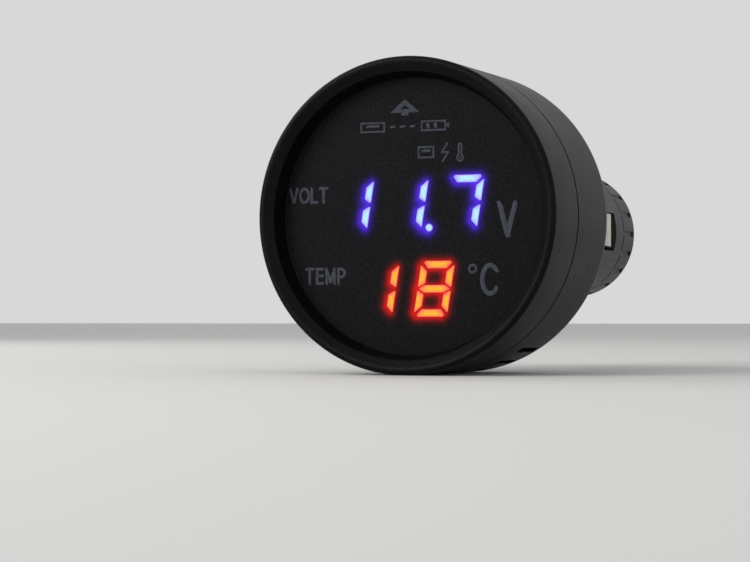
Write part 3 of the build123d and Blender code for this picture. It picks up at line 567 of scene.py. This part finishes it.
# Every place is (x, z) and every pen a width, in mm on the dial.
marks = np.array([
    # Names of the two rows, then the volt unit, the degree ring and the open round of the Celsius unit.
    *word("VOLT", -18.4, -12.45, 1.98, 4.3, 0.06),
    *word("TEMP", -15.95, -9.76, -9.22, -6.85, 0.2),
    stroke(straight((12.58, 1.5), (13.64, -2.66)), 0.74, True),
    stroke(straight((14.76, 1.5), (13.66, -2.66)), 0.72, True),
    stroke(bow((8.72, -7.17), (0.5, 0.5), 0, 360), 0.34),
    stroke(bow((11.22, -8.61), (1.13, 1.9), 39, 321), 0.62),
    # Arrow to the port: a solid head with a dark arrowhead left open in it, and a short stem.
    between(straight((-3.2, 14.15), (-1.06, 15.95)), straight((-1.72, 14.62), (-1.06, 15.2))),
    between(straight((1.08, 14.15), (-1.06, 15.95)), straight((-0.4, 14.62), (-1.06, 15.2))),
    between(straight((-3.2, 14.15), (1.08, 14.15)), straight((-1.72, 14.62), (-0.4, 14.62))),
    between(straight((-1.6, 13.75), (-1.6, 14.15)), straight((-0.52, 13.75), (-0.52, 14.15))),
    # Charging sign: a port with its tongue, three dashes and a battery with two cells.
    *frame_strokes(-7.5, -4.1, 11.65, 12.85, FINE_PEN),
    stroke(straight((-6.6, 12.4), (-5.0, 12.4)), 0.36),
    *[stroke(straight((x, 12.25), (x + 0.5, 12.25)), 0.3) for x in (-3.1, -1.65, -0.2)],
    *frame_strokes(1.4, 4.8, 11.65, 12.85, FINE_PEN),
    stroke(straight((5.2, 12.12), (5.2, 12.38)), 0.36),
    *[stroke(straight((x, 12.15), (x, 12.35)), 0.5) for x in (2.3, 3.4)],
    # The three functions: a port, a lightning stroke for volts and a thermometer.
    *frame_strokes(0.95, 3.1, 7.95, 9.35, FINE_PEN),
    stroke(straight((1.55, 8.85), (2.5, 8.85)), 0.36),
    stroke(straight((5.1, 9.75), (4.3, 8.6)), FINE_PEN),
    stroke(straight((4.3, 8.6), (5.25, 8.6)), FINE_PEN),
    stroke(straight((5.25, 8.6), (4.45, 7.4)), FINE_PEN),
    stroke(bow((6.95, 7.8), (0.44, 0.44), 115, 425), FINE_PEN),
    stroke(bow((6.95, 7.8), (0.08, 0.08), 0, 360), 0.2),
    *[stroke(straight((x, 8.25), (x, 9.5)), FINE_PEN) for x in (6.75, 7.15)],
    stroke(bow((6.95, 9.5), (0.2, 0.2), 0, 180), FINE_PEN),
])


def raise_ink(patches):
    """Closes patches of (x, z) points into a layer of ink, u along and v across. The front rises by
    rise * (16 u(1-u) v(1-v))^fullness, level almost to its edge, and the back is flat in the film."""
    u = np.linspace(0, 1, patches.shape[1])[:, None]
    v = np.linspace(0, 1, patches.shape[2])[None, :]
    bulge = (16 * u * (1 - u) * v * (1 - v)) ** INK_FULLNESS
    x, z = patches[..., 0], patches[..., 1]
    upper = np.stack([x, dial_front - INK_RISE * bulge + 0 * x, z], axis=-1)
    lower = np.stack([x, dial_front + INK_SINK * (bulge > 0) + 0 * x, z], axis=-1)
    return np.concatenate([upper, lower[:, :, ::-1]], axis=2)


def screened_ink():
    """Matt grey-blue screen ink: its cover changes over 0.6 mm, as the mesh of the screen leaves it."""
    material, tree = new_material("screened_grey_ink")
    place = add(tree, "ShaderNodeTexCoord").outputs["Object"]
    cover = add(tree, "ShaderNodeTexNoise", {"Vector": place, "Scale": 1 / (0.6 * MM), "Detail": 4.0})
    share = add(
        tree, "ShaderNodeMapRange",
        {"Value": cover.outputs["Fac"], "From Min": 0.3, "From Max": 0.7},
    )
    colour = add(
        tree,
        "ShaderNodeMixRGB",
        {"Fac": share.outputs[0], "Color1": linear("#30333a"), "Color2": linear("#434751")},
    )
    bump = add(tree, "ShaderNodeBump", {"Height": cover.outputs["Fac"], "Distance": 0.01 * MM})
    shader = add(
        tree,
        "ShaderNodeBsdfPrincipled",
        {
            "Base Color": colour.outputs[0],
            "Roughness": 0.6,
            "Specular IOR Level": 0.2,
            "Normal": bump.outputs[0],
        },
    )
    add(tree, "ShaderNodeOutputMaterial", {"Surface": shader.outputs[0]})
    return material


skin("dial_marks", raise_ink(marks), screened_ink(), "meter_body")

# SMOKED PLATE AND DIGIT MODULES
# Behind the film: a tinted acrylic plate, and two moulded modules whose bars are cast in milky resin. The
# bezel's flange holds the plate, and the modules' pins are soldered to the display board.

# Dark grey moulded case, dull so that unlit bars don't show.
module_abs = moulded(
    "grey_moulded_module", "#1d1e20", "#2a2b2e",
    grain=0.4 * MM, depth=0.015 * MM, roughness=0.5, specular=0.4,
)
dress(module_abs, "volt_display", "temp_display")


def tinted_acrylic():
    """Smoked cast acrylic: polished and darkened in the mass, with faint casting streaks 4 mm apart."""
    material, tree = new_material("smoked_cast_acrylic")
    place = add(tree, "ShaderNodeTexCoord").outputs["Object"]
    streak = add(
        tree, "ShaderNodeTexNoise",
        {"Vector": place, "Scale": 1 / (4 * MM), "Detail": 1.0, "Distortion": 2.0},
    )
    colour = add(
        tree, "ShaderNodeMixRGB",
        {"Fac": streak.outputs["Fac"], "Color1": linear("#2b2b2e"), "Color2": linear("#3a3a3e")},
    )
    shader = add(
        tree,
        "ShaderNodeBsdfPrincipled",
        {"Base Color": colour.outputs[0], "Roughness": 0.08, "IOR": 1.49, "Transmission Weight": 0.85},
    )
    add(tree, "ShaderNodeOutputMaterial", {"Surface": shader.outputs[0]})
    return material


dress(tinted_acrylic(), "dial_window")

# CIRCUIT BOARDS AND THEIR PARTS
# Two boards of glass laminate under green solder resist. Copper tracks show through the resist as paler
# green lines, and the chips, resistors, diode and header are moulded epoxy or nylon with a dull skin.


def solder_resist():
    """Green resist over glass laminate. Tracks 0.4 mm wide, between fields about 2.6 mm across, show paler,
    and the glass weave is a fine bump whose threads are 0.4 mm apart."""
    material, tree = new_material("green_solder_resist")
    place = add(tree, "ShaderNodeTexCoord").outputs["Object"]
    field = add(
        tree, "ShaderNodeTexVoronoi", {"Vector": place, "Scale": 1 / (2.6 * MM)}, feature="DISTANCE_TO_EDGE"
    )
    track = add(
        tree, "ShaderNodeMapRange",
        {"Value": field.outputs["Distance"], "From Min": 0.06, "From Max": 0.09},
    )
    weave = add(tree, "ShaderNodeTexWave", {"Vector": place, "Scale": 1 / (1.2 * MM), "Distortion": 0.3})
    cloud = add(tree, "ShaderNodeTexNoise", {"Vector": place, "Scale": 1 / (3 * MM), "Detail": 2.0})
    ground = add(
        tree, "ShaderNodeMixRGB",
        {"Fac": cloud.outputs["Fac"], "Color1": linear("#0d3b20"), "Color2": linear("#124a29")},
    )
    colour = add(
        tree, "ShaderNodeMixRGB",
        {"Fac": track.outputs[0], "Color1": linear("#2b7a45"), "Color2": ground.outputs[0]},
    )
    height = add(
        tree, "ShaderNodeMath", {0: weave.outputs["Fac"], 1: track.outputs[0]}, operation="SUBTRACT"
    )
    bump = add(tree, "ShaderNodeBump", {"Height": height.outputs[0], "Distance": 0.02 * MM})
    shader = add(
        tree,
        "ShaderNodeBsdfPrincipled",
        {
            "Base Color": colour.outputs[0],
            "Roughness": 0.32,
            "Specular IOR Level": 0.5,
            "IOR": 1.52,
            "Normal": bump.outputs[0],
        },
    )
    add(tree, "ShaderNodeOutputMaterial", {"Surface": shader.outputs[0]})
    return material


dress(solder_resist(), "display_board", "power_board")

# Moulding epoxy: near black and dull, faintly pitted.
chip_epoxy = moulded(
    "black_chip_epoxy", "#141414", "#232322",
    grain=0.15 * MM, depth=0.012 * MM, roughness=0.62, specular=0.35, patch=2 * MM,
)
dress(chip_epoxy, "display_chip", "regulator_chip", "power_diode", "header_strip")

# Glass glaze fired over the resistor's film: dark, smooth and shiny.
resistor_glaze = moulded(
    "glazed_resistor", "#17181a", "#24262a",
    grain=0.5 * MM, depth=0.004 * MM, roughness=0.28, specular=0.5, patch=1 * MM,
)
dress(resistor_glaze, "display_resistors", "power_resistors")

# Dipped epoxy, set from a drop: brown-black, wavy and glossy.
bead_epoxy = moulded(
    "dipped_bead_epoxy", "#1c1410", "#2b1e17",
    grain=0.8 * MM, depth=0.02 * MM, roughness=0.22, specular=0.5, patch=2 * MM,
)
dress(bead_epoxy, "thermistor")

# Sintered ferrite: dark grey and gritty, with a dull shine.
sintered_ferrite = moulded(
    "sintered_ferrite", "#232326", "#34353a",
    grain=0.12 * MM, depth=0.02 * MM, roughness=0.55, specular=0.5, patch=1.5 * MM,
)
dress(sintered_ferrite, "inductor_core")


def worked_metal(name, colour, stain, scratch_scale, roughness, depth=0.004 * MM):
    """Metal with marks of its working: noise with its own scale on each axis, read as fine scratches in
    gloss and height, over slow stains in colour. Real ones are about 0.01 mm wide, and drawn wider."""
    material, tree = new_material(name)
    place = add(tree, "ShaderNodeTexCoord").outputs["Object"]
    drawn = add(tree, "ShaderNodeMapping", {"Vector": place, "Scale": scratch_scale})
    scratch = add(
        tree, "ShaderNodeTexNoise",
        {"Vector": drawn.outputs[0], "Scale": 1.0, "Detail": 4.0, "Roughness": 0.65},
    )
    cloud = add(tree, "ShaderNodeTexNoise", {"Vector": place, "Scale": 1 / (2.5 * MM), "Detail": 3.0})
    share = add(
        tree, "ShaderNodeMapRange",
        {"Value": cloud.outputs["Fac"], "From Min": 0.35, "From Max": 0.7},
    )
    tone = add(
        tree, "ShaderNodeMixRGB",
        {"Fac": share.outputs[0], "Color1": linear(colour), "Color2": linear(stain)},
    )
    gloss = add(
        tree, "ShaderNodeMapRange",
        {"Value": scratch.outputs["Fac"], "To Min": roughness - 0.1, "To Max": roughness + 0.14},
    )
    bump = add(tree, "ShaderNodeBump", {"Height": scratch.outputs["Fac"], "Distance": depth})
    shader = add(
        tree,
        "ShaderNodeBsdfPrincipled",
        {
            "Base Color": tone.outputs[0],
            "Metallic": 1.0,
            "Roughness": gloss.outputs[0],
            "Normal": bump.outputs[0],
        },
    )
    add(tree, "ShaderNodeOutputMaterial", {"Surface": shader.outputs[0]})
    return material


# Scales across a scratch, 0.08 mm wide, and along it, 4 mm long.
FINE = 1 / (0.08 * MM)
LONG = 1 / (4 * MM)

# Zinc plate on steel: a cool grey, scuffed along Y. Gold plate on bronze: warm, drawn along Z.
zinc_plate = worked_metal("zinc_plated_steel", "#b9bcc2", "#9da1a8", (FINE, LONG, FINE), 0.32)
dress(zinc_plate, "board_screws", "barrel_screws")
gold_plate = worked_metal("gold_plated_bronze", "#d9b25a", "#c79c45", (FINE, FINE, LONG), 0.28)
dress(gold_plate, "usb_contacts", "header_pins")

WIRE_PITCH = 0.35 * MM


def wound_copper():
    """Enamelled copper wire laid turn on turn round the bobbin: bands along Z, orange-brown and glossy,
    their colour darkened towards each groove between turns as painted shade. A wave texture repeats every pi
    / (10 * scale)."""
    material, tree = new_material("enamelled_copper_winding")
    place = add(tree, "ShaderNodeTexCoord").outputs["Object"]
    turns = add(
        tree, "ShaderNodeTexWave",
        {"Vector": place, "Scale": pi / (10 * WIRE_PITCH), "Distortion": 0.2, "Detail": 1.0},
        bands_direction="Z",
    )
    # Painted shade: the colour follows the wave's height, dark in the grooves between turns and copper on
    # the crowns.
    colour = add(
        tree, "ShaderNodeMixRGB",
        {"Fac": turns.outputs["Fac"], "Color1": linear("#7a3014"), "Color2": linear("#d07a3e")},
    )
    bump = add(tree, "ShaderNodeBump", {"Height": turns.outputs["Fac"], "Distance": 0.12 * MM})
    shader = add(
        tree,
        "ShaderNodeBsdfPrincipled",
        {"Base Color": colour.outputs[0], "Metallic": 0.85, "Roughness": 0.3, "Normal": bump.outputs[0]},
    )
    add(tree, "ShaderNodeOutputMaterial", {"Surface": shader.outputs[0]})
    return material


dress(wound_copper(), "inductor_winding")

# Aluminium drawn into a can: pale, with long marks of the die.
drawn_can = worked_metal("drawn_aluminium_can", "#c9cacd", "#b4b6ba", (FINE, FINE, LONG), 0.3)
dress(drawn_can, "capacitors")

# USB PORT
# A sleeve folded from nickel-plated sheet round a white insulator with four gold blades. Two spring
# tongues on each wide wall bend inwards, and grip the plug.

# Nickel plate on rolled sheet: a warm grey, its scratches along the rolling.
rolled_nickel = worked_metal("rolled_nickel_sheet", "#bfbcb4", "#a9a69d", (LONG, FINE, FINE), 0.3)
dress(rolled_nickel, "usb_shell")

# White moulded polyester: smooth, with a soft shine.
port_insulator = moulded(
    "white_moulded_insulator", "#d4d3cc", "#e2e1db",
    grain=0.4 * MM, depth=0.006 * MM, roughness=0.45, specular=0.45,
)
dress(port_insulator, "usb_tongue")

LATCH_WIDTH = 1.6 * MM
LATCH_LENGTH = 4.4 * MM
LATCH_SHEET = 0.25 * MM
LATCH_BEND = 0.42 * MM
LATCH_PLACE = 3.1 * MM
LATCH_WINDOW = 4.5 * MM
LATCH_ROOT = 0.15 * MM
LATCH_SKEW = 1.4
LATCH_TAPER = 0.25
LATCH_ROWS = 25
PORT_WALL = 0.3 * MM
PORT_BASE = 3.2 * MM
shell_low, shell_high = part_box("usb_shell")
board_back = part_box("display_board")[1].y


def latch(x, wall, inward, low_z):
    """A spring tongue cut from the wall, with s from 0 at its root to 1 at its free end. It bows inwards by
    bend * sin(pi s^skew)^2 and narrows by taper * s. Its section is the sheet's, with the corners off."""
    s = np.linspace(0, 1, LATCH_ROWS)
    z = low_z + LATCH_LENGTH * s
    dip = inward * LATCH_BEND * np.sin(pi * s**LATCH_SKEW) ** 2
    across = np.array([-0.5, -0.46, 0.46, 0.5, 0.5, 0.46, -0.46, -0.5]) * LATCH_WIDTH
    through = np.array([-0.4, -0.5, -0.5, -0.4, 0.4, 0.5, 0.5, 0.4]) * LATCH_SHEET
    taper = 1 - LATCH_TAPER * s[:, None]
    flat = 0 * across * taper
    body = np.stack([x + across * taper, wall + dip[:, None] + through + flat, z[:, None] + flat], axis=-1)
    ends = body.mean(axis=1, keepdims=True) + 0 * body
    return np.concatenate([ends[:1], body, ends[-1:]])


latch_base = (shell_low.z + PORT_BASE + shell_high.z - LATCH_WINDOW) / 2 - LATCH_ROOT
latches = np.array([
    latch(side * LATCH_PLACE, wall + inward * PORT_WALL / 2, inward, latch_base)
    for side in (-1, 1)
    for wall, inward in ((board_back, 1), (shell_high.y, -1))
])
skin("latch_springs", latches, rolled_nickel, "meter_body")

# PLUG BARREL AND NOSE CAP
# The part that goes into the socket: glass-filled nylon, moulded smoother than the head, with the tool's
# parting line along both sides and fine rub marks from being pushed in and pulled out.


def rubbed_nylon():
    """Black glass-filled nylon: rub marks along the plug lighten it and roughen its gloss, and a fine ridge
    stands at x = 0 where the tool's halves met. Real rub marks are finer; they are drawn 0.35 mm wide and
    9 mm long, so that they show."""
    material, tree = new_material("black_moulded_nylon")
    place = add(tree, "ShaderNodeTexCoord").outputs["Object"]
    across, along = 1 / (0.35 * MM), 1 / (9 * MM)
    drawn = add(tree, "ShaderNodeMapping", {"Vector": place, "Scale": (across, along, across)})
    rub = add(tree, "ShaderNodeTexNoise", {"Vector": drawn.outputs[0], "Scale": 1.0, "Detail": 4.0})
    fine = add(tree, "ShaderNodeTexNoise", {"Vector": place, "Scale": 1 / (0.25 * MM), "Detail": 2.0})
    worn = add(
        tree, "ShaderNodeMapRange",
        {"Value": rub.outputs["Fac"], "From Min": 0.56, "From Max": 0.74},
    )
    colour = add(
        tree, "ShaderNodeMixRGB",
        {"Fac": worn.outputs[0], "Color1": linear("#131314"), "Color2": linear("#2b2b2d")},
    )
    gloss = add(tree, "ShaderNodeMapRange", {"Value": rub.outputs["Fac"], "To Min": 0.36, "To Max": 0.58})
    axes = add(tree, "ShaderNodeSeparateXYZ", {"Vector": place})
    line = add(tree, "ShaderNodeMath", {0: axes.outputs["X"]}, operation="ABSOLUTE")
    ridge = add(
        tree, "ShaderNodeMapRange",
        {"Value": line.outputs[0], "From Max": 0.12 * MM, "To Min": 1.0, "To Max": 0.0},
    )
    height = add(
        tree, "ShaderNodeMath",
        {0: fine.outputs["Fac"], 1: 0.25, 2: ridge.outputs[0]},
        operation="MULTIPLY_ADD",
    )
    bump = add(tree, "ShaderNodeBump", {"Height": height.outputs[0], "Distance": 0.03 * MM})
    shader = add(
        tree,
        "ShaderNodeBsdfPrincipled",
        {
            "Base Color": colour.outputs[0],
            "Roughness": gloss.outputs[0],
            "Specular IOR Level": 0.4,
            "IOR": 1.53,
            "Normal": bump.outputs[0],
        },
    )
    add(tree, "ShaderNodeOutputMaterial", {"Surface": shader.outputs[0]})
    return material


dress(rubbed_nylon(), "plug_barrel", "nose_cap")

# SIDE CONTACTS, TIP AND FUSE
# Leaves stamped from nickel-plated spring strip, a turned and plated tip, and a glass fuse between the
# tip's cup and a coil spring that stands on a brass terminal.

# Nickel on spring strip is warm grey and scratched along its length. The turned pieces have the fine rings
# of the lathe, which draw out their highlights, and the fuse wire is silvery and smooth.
spring_strip = worked_metal("nickel_spring_strip", "#c6c1b6", "#aaa598", (LONG * 2, LONG, FINE), 0.27)
dress(spring_strip, "left_contact", "right_contact")
turned_nickel = worked_metal("turned_nickel_plate", "#c9c4b8", "#b0ab9e", (LONG, FINE, LONG), 0.24)
dress(turned_nickel, "tip_contact", "fuse_caps")
turned_brass = worked_metal("turned_brass", "#cfa45a", "#b98d45", (LONG, FINE, LONG), 0.3)
dress(turned_brass, "spring_terminal")
fuse_element = worked_metal("silvered_fuse_wire", "#d3d0c8", "#bdb9ae", (FINE, LONG, FINE), 0.3)
dress(fuse_element, "fuse_wire")


def drawn_glass():
    """Clear drawn tube: a faint green cast, with draw lines 0.6 mm apart that ripple the reflections."""
    material, tree = new_material("drawn_glass_tube")
    place = add(tree, "ShaderNodeTexCoord").outputs["Object"]
    across, along = 1 / (0.6 * MM), 1 / (15 * MM)
    drawn = add(tree, "ShaderNodeMapping", {"Vector": place, "Scale": (across, along, across)})
    lines = add(tree, "ShaderNodeTexNoise", {"Vector": drawn.outputs[0], "Scale": 1.0, "Detail": 1.0})
    colour = add(
        tree, "ShaderNodeMixRGB",
        {"Fac": lines.outputs["Fac"], "Color1": linear("#e6f0ea"), "Color2": linear("#f2f8f4")},
    )
    bump = add(tree, "ShaderNodeBump", {"Height": lines.outputs["Fac"], "Distance": 0.004 * MM})
    shader = add(
        tree,
        "ShaderNodeBsdfPrincipled",
        {
            "Base Color": colour.outputs[0],
            "Roughness": 0.03,
            "IOR": 1.52,
            "Transmission Weight": 1.0,
            "Normal": bump.outputs[0],
        },
    )
    add(tree, "ShaderNodeOutputMaterial", {"Surface": shader.outputs[0]})
    return material


dress(drawn_glass(), "fuse_glass")

COIL_WIRE = 0.4 * MM
COIL_TURNS = 3.5
COIL_STEPS = 48
COIL_SIDES = 16


def coil(low, high, outer):
    """A round wire carried along a helix about Y. Its middle goes (R cos a, y, R sin a), and each section
    is a circle in the plane of the outward direction and the direction across the wire."""
    radius = outer - COIL_WIRE / 2
    angle = np.linspace(0, 2 * pi * COIL_TURNS, int(COIL_STEPS * COIL_TURNS))[:, None]
    rise = (high - low - COIL_WIRE) / (2 * pi * COIL_TURNS)
    outward = np.stack([np.cos(angle), 0 * angle, np.sin(angle)], axis=-1)
    climb = low + COIL_WIRE / 2 + rise * angle
    middle = radius * outward + np.stack([0 * angle, climb, 0 * angle], axis=-1)
    heading = np.stack([-radius * np.sin(angle), rise + 0 * angle, radius * np.cos(angle)], axis=-1)
    heading /= np.linalg.norm(heading, axis=-1, keepdims=True)
    sideways = np.cross(heading, outward)
    about = np.linspace(0, 2 * pi, COIL_SIDES, endpoint=False)[None, :, None]
    wire = middle + COIL_WIRE / 2 * (np.cos(about) * outward + np.sin(about) * sideways)
    return np.concatenate([middle[:1] + 0 * wire[:1], wire, middle[-1:] + 0 * wire[-1:]])[None]


coil_low, coil_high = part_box("tip_spring")
drawn_steel = worked_metal("drawn_spring_wire", "#aeb0b4", "#96989c", (FINE, LONG, FINE), 0.3)
coil_grid = coil(coil_low.y, coil_high.y, coil_high.x)
spring_coil = skin("spring_coil", coil_grid, drawn_steel, "meter_body")
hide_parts("tip_spring")
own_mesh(spring_coil)

# STUDIO
# A pale floor under the head, a soft lamp from the upper left, a weaker one from behind the left side that
# draws the rim, a wide one from the right, and an even pale room.

FLOOR_HALF = 4.0
ROLLER_SCALE = 6.0
ROOM_LIGHT = 0.55
ROOM_SHOWN = 0.7


def bearing(azimuth, elevation, distance):
    """The point at a distance from the bezel's middle: (sin a cos e, -cos a cos e, sin e) times it. The
    azimuth a is from straight in front towards +X and the elevation e is upwards, both in degrees."""
    a, e = radians(azimuth), radians(elevation)
    return np.array([sin(a) * cos(e), -cos(a) * cos(e), sin(e)]) * distance + (0, ring_front, 0)


def pale_floor():
    """Matt painted board: a pale warm grey, with faint roller marks about 170 mm apart."""
    material, tree = new_material("pale_painted_board")
    place = add(tree, "ShaderNodeTexCoord").outputs["Object"]
    cloud = add(tree, "ShaderNodeTexNoise", {"Vector": place, "Scale": ROLLER_SCALE, "Detail": 3.0})
    colour = add(
        tree, "ShaderNodeMixRGB",
        {"Fac": cloud.outputs["Fac"], "Color1": linear("#dcdbd8"), "Color2": linear("#e1e0dd")},
    )
    shader = add(
        tree, "ShaderNodeBsdfPrincipled",
        {"Base Color": colour.outputs[0], "Roughness": 0.8, "Specular IOR Level": 0.2},
    )
    add(tree, "ShaderNodeOutputMaterial", {"Surface": shader.outputs[0]})
    return material


floor_mesh = bpy.data.meshes.new("floor")
floor_z = cad_box[0].z
floor_mesh.from_pydata(
    [(x * FLOOR_HALF, y * FLOOR_HALF, floor_z) for x, y in ((-1, -1), (1, -1), (1, 1), (-1, 1))],
    [],
    [(0, 1, 2, 3)],
)
floor_mesh.materials.append(pale_floor())
floor = bpy.data.objects.new("floor", floor_mesh)
bpy.context.scene.collection.objects.link(floor)


def lamp(name, direction, distance, size, power):
    """A square area lamp that faces the bezel's middle, from (azimuth, elevation), its power in watts."""
    data = bpy.data.lights.new(name, "AREA")
    data.energy = power
    data.size = size
    made = bpy.data.objects.new(name, data)
    made.location = bearing(*direction, distance)
    aim = Vector((0, ring_front, 0)) - made.location
    made.rotation_euler = aim.to_track_quat("-Z", "Y").to_euler()
    bpy.context.scene.collection.objects.link(made)


lamp("key_lamp", (-36, 26), 0.42, 0.3, 0.95)
lamp("side_lamp", (-112, 28), 0.5, 0.24, 0.6)
lamp("fill_lamp", (58, 22), 1.1, 0.8, 0.7)

room = bpy.data.worlds.new("room")
room.use_nodes = True
room.node_tree.nodes.clear()
bpy.context.scene.world = room
rays = add(room.node_tree, "ShaderNodeLightPath").outputs
shown = rays["Is Camera Ray"]
for ray in ("Is Glossy Ray", "Is Transmission Ray"):
    either = add(room.node_tree, "ShaderNodeMath", {0: shown, 1: rays[ray]}, operation="MAXIMUM")
    shown = either.outputs[0]
level = add(
    room.node_tree, "ShaderNodeMapRange", {"Value": shown, "To Min": ROOM_LIGHT, "To Max": ROOM_SHOWN}
)
sky = add(
    room.node_tree, "ShaderNodeBackground",
    {"Color": linear("#fdfdff"), "Strength": level.outputs[0]},
)
add(room.node_tree, "ShaderNodeOutputWorld", {"Surface": sky.outputs[0]})

# CAMERA
# In front, turned towards the dial's right side and a little below its middle, at 300 mm with a long lens.

CAMERA_AZIMUTH = 22.0
CAMERA_ELEVATION = -2.7
CAMERA_DISTANCE = 0.298
CAMERA_TILT = 91.0049
CAMERA_TURN = 22.7101
CAMERA_LENS = 106.55
CAMERA_SENSOR = 36.0
CAMERA_NEAR = 0.01

camera_data = bpy.data.cameras.new("camera")
camera_data.lens = CAMERA_LENS
camera_data.sensor_width = CAMERA_SENSOR
camera_data.clip_start = CAMERA_NEAR
camera = bpy.data.objects.new("camera", camera_data)
camera.location = bearing(CAMERA_AZIMUTH, CAMERA_ELEVATION, CAMERA_DISTANCE)
camera.rotation_euler = (radians(CAMERA_TILT), 0, radians(CAMERA_TURN))
bpy.context.scene.collection.objects.link(camera)
bpy.context.scene.camera = camera
bpy.context.scene.view_settings.view_transform = "Standard"
